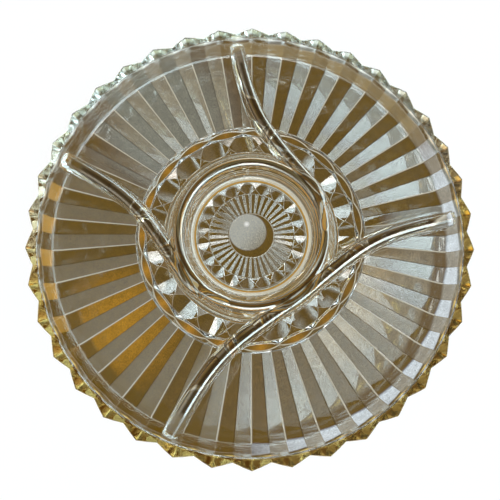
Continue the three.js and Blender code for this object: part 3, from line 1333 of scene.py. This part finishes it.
    # Painted light and dark streaks along the dividers and the well's lip.
    painted_light_streak: Colour = (1, 0.78, 0.42)
    painted_streak_step: float = 1.3 * MM
    painted_light_streak_zone: Zone = Zone(0.53, 0.62)
    painted_dark_streak: Colour = (0.3, 0.23, 0.11)
    painted_dark_streak_zone: Zone = Zone(0.45, 0.37)

    def lay_flutes(self, tint: Tint, spot: Spot) -> None:
        """Lay painted warm light on the base's marked edges, and painted reflections and warm light on the
        flutes' facets, on a tint.

        Args:
            tint: the tint of the underside.
            spot: the place on the dish.
        """
        tint.lay(spot.mark("warm_light") * self.warm_light_side.share(spot), self.gold)
        fluted = self.flute_zone.share(spot.radius)
        for sheen in self.painted_sheens:
            tint.lay(sheen.share(spot) * fluted, sheen.colour)

    def lay_wall(self, tint: Tint, spot: Spot) -> None:
        """Lay the wall's painted light on a tint: painted dark, painted warm light, a painted haze, and a
        painted reflection with painted shade on the rising facets.

        Args:
            tint: the tint of the underside.
            spot: the place on the dish.
        """
        wall = self.wall_zone.share(spot.radius) * self.wall_top.share(spot.height)
        tint.lay(wall * self.wall_painted_dark_side.share(spot), self.wall_painted_dark)
        tint.lay(wall * spot.falling * self.wall_warm_light_side.share(spot), self.wall_warm_light)
        tint.lay(wall * self.wall_reflection_haze_side.share(spot) * (1 + spot.falling) / 2, self.wall_reflection_haze)
        reflection = Tint(spot.nodes, self.wall_shade).lay(spot.falling, self.wall_reflection)
        tint.lay(wall * self.wall_reflection_side.share(spot), reflection)

    def lay_well(self, tint: Tint, spot: Spot) -> None:
        """Lay the well's painted light on a tint: fine pale and gold rings, a gold line and a pale ring.

        Args:
            tint: the tint of the underside.
            spot: the place on the dish.
        """
        line = spot.lines(spot.radius, self.ring_step)
        well = self.well.share(spot.radius)
        tint.lay(well * self.ring_zone.share(line), self.ring)
        tint.lay(well * self.painted_gold_ring_zone.share(line), self.painted_gold_ring)
        tint.lay(self.painted_bright_ring.share(spot.radius), self.pale)
        tint.lay(self.edge.share(spot.radius), self.painted_gold_ring)

    def lay_button(self, tint: Tint, spot: Spot) -> None:
        """Lay the button's painted reflection on a tint, with painted shade towards one side, pale specks
        and a painted highlight.

        Args:
            tint: the tint of the underside.
            spot: the place on the dish.
        """
        disc = Tint(spot.nodes, self.button_reflection)
        disc.lay(self.button_shade_fall.share(spot.along(self.button_shade_way)), self.button_reflection_shade)
        disc.lay(self.speck_zone.share(spot.noise(self.speck_size)), self.pale)
        disc.lay(self.highlight_patch.share(spot), self.glow)
        tint.lay(self.button_reflection_zone.share(spot.distance(self.button_reflection_middle)), disc)

    def lay_rim(self, tint: Tint, spot: Spot) -> None:
        """Lay the rim points' tints on a tint: clear falling facets and painted shade on the rising ones,
        with painted warm light towards one side.

        Args:
            tint: the tint of the underside.
            spot: the place on the dish.
        """
        khaki = self.khaki_side.share(spot)
        bright = Tint(spot.nodes, self.clear).lay(khaki, self.khaki)
        points = Tint(spot.nodes, self.clear_shade).lay(khaki, self.khaki_shade)
        points.lay(spot.falling, bright)
        tint.lay(self.rim_zone.share(spot.height), points)

    def underside(self, spot: Spot) -> Tint:
        """Mix the tint of the underside, with its painted light and shade.

        Args:
            spot: the place on the dish.

        Returns:
            The tint.
        """
        tint = Tint(spot.nodes, self.brown)
        self.lay_flutes(tint, spot)
        self.lay_wall(tint, spot)
        blots = spot.uneven(self.mottle_size, self.mottle)
        tint.scale(blots * spot.uneven(self.grain_size, self.tint_grain))
        # Painted shade: the bend darkens to brown on one side.
        bend = self.bend.share(spot.radius) * self.bend_shade_side.share(spot)
        tint.lay(bend * self.bend_shade, self.brown)
        for lay in (self.lay_well, self.lay_button, self.lay_rim):
            lay(tint, spot)
        # Painted shade lines in the valleys, then painted highlight lines on the ridges and edges.
        glint = spot.mark("glint")
        return tint.lay(glint * -1, BLACK).lay(glint, self.pale)

    def upper(self, spot: Spot, raised: Term) -> Tint:
        """Mix the tint of the upper face: clear on the flat, with painted light and dark streaks along
        whatever stands up from it.

        Args:
            spot: the place on the dish.
            raised: 1 on the dividers and the well.

        Returns:
            The tint.
        """
        line = spot.lines(spot.height, self.painted_streak_step)
        tint = Tint(spot.nodes, WHITE).lay(self.painted_light_streak_zone.share(line) * raised, self.painted_light_streak)
        return tint.lay(self.painted_dark_streak_zone.share(line) * raised, self.painted_dark_streak)

    def polish(self, spot: Spot, dull: Term) -> Term:
        """Find how strongly the underside mirrors: grainy, and dull on one side, the button and the rim.

        Args:
            spot: the place on the dish.
            dull: 1 on the dull side of the flutes.

        Returns:
            The weight of the mirroring coat.
        """
        wall = self.bend.start.share(spot.radius) * self.wall_dull_side.share(spot)
        weight = (1 - spot.nodes.math("MAXIMUM", dull, wall) * self.dulling) * self.polished
        for share, factor in (
            (self.bend.share(spot.radius), self.bend_polish),
            (self.button_zone.share(spot.radius), self.button_polish),
            (self.rim_zone.share(spot.height), self.rim_polish),
            (self.cut.share(spot.radius), self.cut_polish),
        ):
            weight = weight * (1 - share * (1 - factor))
        return weight * spot.uneven(self.grain_size, 2 * self.grain)

    def material(self) -> bpy.types.Material:
        """Make the glass a material.

        Returns:
            The material.
        """
        material = bpy.data.materials.new("pressed_glass")
        material.use_nodes = True
        nodes = Nodes(material.node_tree)
        spot = Spot(nodes)
        below = spot.mark("underside")
        raised = self.raised_zone.share(spot.height) * self.raised_end.share(spot.radius)
        tint = self.upper(spot, raised).lay(below, self.underside(spot))
        dull = self.dull_side.share(spot) * Band(self.flute_zone, self.dull_end).share(spot.radius)
        coat = nodes.math("MAXIMUM", below * self.polish(spot, dull), (1 - below) * raised)
        rough = self.gloss + below * dull * (1 - spot.falling) * (self.dull_roughness - self.gloss)
        glass = nodes.add("ShaderNodeBsdfPrincipled", sockets={
            "Base Color": tint.socket, "Roughness": rough, "IOR": self.index, "Transmission Weight": 1,
            "Coat Weight": coat, "Coat IOR": self.coat_index, "Coat Roughness": self.gloss})
        clear = nodes.add("ShaderNodeBsdfTransparent", sockets={"Color": (*self.shadow, 1)})
        shadow = nodes.add("ShaderNodeLightPath").outputs["Is Shadow Ray"]
        nodes.add("ShaderNodeOutputMaterial", sockets={"Surface": nodes.blend(shadow, glass, clear)})
        return material


@dataclass(frozen=True)
class PaleFloor:
    """The matt pale floor, plain white to the eye and through the glass but for the shadow on it."""

    colour: Colour = (0.92, 0.92, 0.91)
    whiteness: float = 0.9

    def material(self) -> bpy.types.Material:
        """Make the floor a material.

        Returns:
            The material.
        """
        material = bpy.data.materials.new("pale_floor")
        material.use_nodes = True
        nodes = Nodes(material.node_tree)
        matt = nodes.add("ShaderNodeBsdfPrincipled", sockets={
            "Base Color": (*self.colour, 1), "Roughness": 1, "Specular IOR Level": 0})
        white = nodes.add("ShaderNodeEmission", sockets={"Color": (*WHITE, 1)})
        rays = nodes.add("ShaderNodeLightPath").outputs
        mirrored = nodes.math("MAXIMUM", rays["Is Glossy Ray"], rays["Is Transmission Ray"])
        seen = nodes.math("MAXIMUM", rays["Is Camera Ray"], mirrored) * self.whiteness
        nodes.add("ShaderNodeOutputMaterial", sockets={"Surface": nodes.blend(seen, matt, white)})
        return material


# The dish as one piece

@dataclass(frozen=True)
class ServingDish:
    """The dressed dish: one closed skin of glass that stands for all the moulded zones."""

    floor: Floor = Floor()
    pattern: Pattern = Pattern()
    around: AroundTree = AroundTree()

    def build(self, glass: PressedGlass) -> bpy.types.Object:
        """Build the dish as a closed mesh object in its finish.

        Args:
            glass: the finish of the glass.

        Returns:
            The finished piece.
        """
        zones = (self.pattern, Rim(self.floor), Base(self.floor, self.pattern.half_angle))
        upper = UpperFace(*zones).build()
        sector = Underside(*zones).build()
        mesh = self.around.apply(sector, {
            "Sectors": self.pattern.diamonds,
            "Upper Face": upper,
            "Weld Distance": self.around.weld,
            "Glass": glass.material(),
        })
        for helper in (upper, sector):
            bpy.data.objects.remove(helper)
        self.face_outward(mesh)
        return link(mesh, "pressed_glass_dish")

    def face_outward(self, mesh: bpy.types.Mesh) -> None:
        """Turn all faces of the closed mesh outwards.

        Args:
            mesh: the mesh, which is changed.
        """
        shape = bmesh.new()
        shape.from_mesh(mesh)
        bmesh.ops.recalc_face_normals(shape, faces=shape.faces)
        open_edges = sum(not edge.is_manifold for edge in shape.edges)
        LOG.info("%d faces, %d open edges", len(shape.faces), open_edges)
        shape.to_mesh(mesh)
        shape.free()

    def dress(self, piece: bpy.types.Object) -> None:
        """Let the piece ride on the frame and stand for its nodes.

        Args:
            piece: the finished piece.
        """
        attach(piece, "root")
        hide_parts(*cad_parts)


# Studio

@dataclass(frozen=True)
class WindowLight:
    """A wide soft window that wraps round one side of the dish and sinks towards the back."""

    azimuth: float
    half_angle: float
    radiance: float
    tilt: float = radians(17.5)
    tilt_azimuth: float = radians(56.6)
    side_fade: float = radians(60)
    elevation: float = radians(27.5)
    half_height: float = radians(14)
    edge_fade: float = radians(8)

    def strength(self, nodes: Nodes, direction: Socket) -> Term:
        """Find the window's radiance in a direction, with soft edges.

        Args:
            nodes: the world's nodes.
            direction: the direction that is looked in.

        Returns:
            The radiance.
        """
        axis = (-math.sin(self.tilt_azimuth), math.cos(self.tilt_azimuth), 0)
        upright = nodes.add("ShaderNodeVectorRotate", {"rotation_type": "AXIS_ANGLE"}, {
            "Vector": direction, "Axis": axis, "Angle": -self.tilt}).outputs[0]
        turned = nodes.add("ShaderNodeVectorRotate", {"rotation_type": "Z_AXIS"}, {
            "Vector": upright, "Angle": -self.azimuth}).outputs[0]
        x, y, z = nodes.parts(turned)
        off_side = nodes.math("ABSOLUTE", nodes.math("ARCTAN2", y, x))
        off_height = nodes.math("ABSOLUTE", nodes.math("ARCSINE", z) - self.elevation)
        across = Zone.below(self.half_angle, self.side_fade).share(off_side)
        return across * Zone.below(self.half_height, self.edge_fade).share(off_height) * self.radiance


@dataclass(frozen=True)
class SpotGlow:
    """A round soft glow in one direction of the room."""

    azimuth: float
    elevation: float
    half_angle: float
    fade: float
    radiance: float

    def strength(self, nodes: Nodes, direction: Socket) -> Term:
        """Find the glow's radiance in a direction, with a soft edge.

        Args:
            nodes: the world's nodes.
            direction: the direction that is looked in.

        Returns:
            The radiance.
        """
        middle = heading(self.azimuth, self.elevation)
        near = Term(nodes, nodes.vector("DOT_PRODUCT", {0: direction, 1: middle})["Value"])
        rim = Zone.below(self.half_angle, self.fade)
        return Zone(math.cos(rim.start), math.cos(rim.full)).share(near) * self.radiance


@dataclass(frozen=True)
class HorizonGlow:
    """Pale surroundings near the horizon."""

    full: float = radians(3)
    gone: float = radians(9)
    radiance: float = 1

    def strength(self, nodes: Nodes, direction: Socket) -> Term:
        """Return the surroundings' radiance in a direction."""
        height = nodes.parts(direction)[-1]
        return Zone(math.sin(self.gone), math.sin(self.full)).share(height) * self.radiance


@dataclass(frozen=True)
class Studio:
    """The floor and the light of the room round it."""

    windows: tuple[WindowLight, ...] = (
        WindowLight(radians(-36), radians(85), 3.8),
        WindowLight(radians(-116), radians(56), 2.4),
    )
    side: SpotGlow = SpotGlow(radians(146), radians(36), radians(18), radians(14), 0.3)
    ceiling: SpotGlow = SpotGlow(radians(-126), radians(57), radians(10), radians(8), 5)
    key: SpotGlow = SpotGlow(radians(-60), radians(54), radians(5), radians(4), 7)
    horizon: HorizonGlow = HorizonGlow()
    room: float = 0.06
    window_colour: Colour = (0.74, 0.94, 1)
    room_colour: Colour = (1, 0.97, 0.9)
    floor_size: float = 6
    floor_gap: float = 0.3 * MM
    glass_bounces: int = 24

    def build_floor(self) -> None:
        """Lay the floor just under the dish."""
        half = self.floor_size / 2
        corners = [(x * half, y * half, -self.floor_gap) for x, y in ((-1, -1), (1, -1), (1, 1), (-1, 1))]
        mesh = bpy.data.meshes.new("floor")
        mesh.from_pydata(corners, [], [(0, 1, 2, 3)])
        mesh.materials.append(PaleFloor().material())
        link(mesh, "floor")

    def build_world(self) -> None:
        """Light the room, which the camera itself sees as plain white."""
        world = bpy.data.worlds.new("room")
        world.use_nodes = True
        nodes = Nodes(world.node_tree)
        direction = nodes.add("ShaderNodeTexCoord").outputs["Generated"]
        windows = sum(window.strength(nodes, direction) for window in self.windows)
        glows = (self.side, self.ceiling, self.key, self.horizon)
        light = windows + self.room + sum(glow.strength(nodes, direction) for glow in glows)
        colour = nodes.mix(windows / light, (*self.room_colour, 1), (*self.window_colour, 1))
        lit = nodes.add("ShaderNodeBackground", sockets={"Color": colour, "Strength": light})
        white = nodes.add("ShaderNodeBackground", sockets={"Color": (*WHITE, 1)})
        seen = nodes.add("ShaderNodeLightPath").outputs["Is Camera Ray"]
        nodes.add("ShaderNodeOutputWorld", sockets={"Surface": nodes.blend(seen, lit, white)})
        bpy.context.scene.world = world

    def build(self) -> None:
        """Set up the floor, the world and how light is followed through the glass."""
        self.build_floor()
        self.build_world()
        scene = bpy.context.scene
        scene.view_settings.view_transform = "Standard"
        scene.cycles.caustics_reflective = False
        scene.cycles.caustics_refractive = False
        scene.cycles.max_bounces = self.glass_bounces
        scene.cycles.glossy_bounces = self.glass_bounces
        scene.cycles.transmission_bounces = self.glass_bounces


@dataclass(frozen=True)
class PhotoCamera:
    """The camera of the photograph, high over the dish and slightly tilted."""

    target: tuple[float, float, float] = (-0.55 * MM, -1.05 * MM, 14 * MM)
    azimuth: float = radians(-133.78)
    elevation: float = radians(79.54)
    roll: float = radians(7.45)
    distance: float = 377.3 * MM
    nearest: float = 10 * MM
    focal_length: float = 32.92
    shift: tuple[float, float] = (-0.004, -0.03)

    def build(self) -> None:
        """Make the camera the scene's."""
        data = bpy.data.cameras.new("photo_camera")
        data.lens = self.focal_length
        data.shift_x, data.shift_y = self.shift
        data.clip_start = self.nearest
        camera = link(data, "photo_camera")
        away = heading(self.azimuth, self.elevation)
        turn = away.to_track_quat("Z", "Y").to_matrix() @ Matrix.Rotation(self.roll, 3, "Z")
        camera.matrix_world = Matrix.Translation(Vector(self.target) + away * self.distance) @ turn.to_4x4()
        bpy.context.scene.camera = camera


def main() -> None:
    """Build the dish and its studio, and log the mesh's faces and open edges and how many nodes it stands
    for.
    """
    logging.basicConfig(level=logging.INFO, format="%(message)s")
    PhotoCamera().build()
    Studio().build()
    dish = ServingDish()
    piece = dish.build(PressedGlass())
    dish.dress(piece)
    LOG.info("%s stands for %d nodes", piece.name, len(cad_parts))


if __name__ == "__main__":
    main()
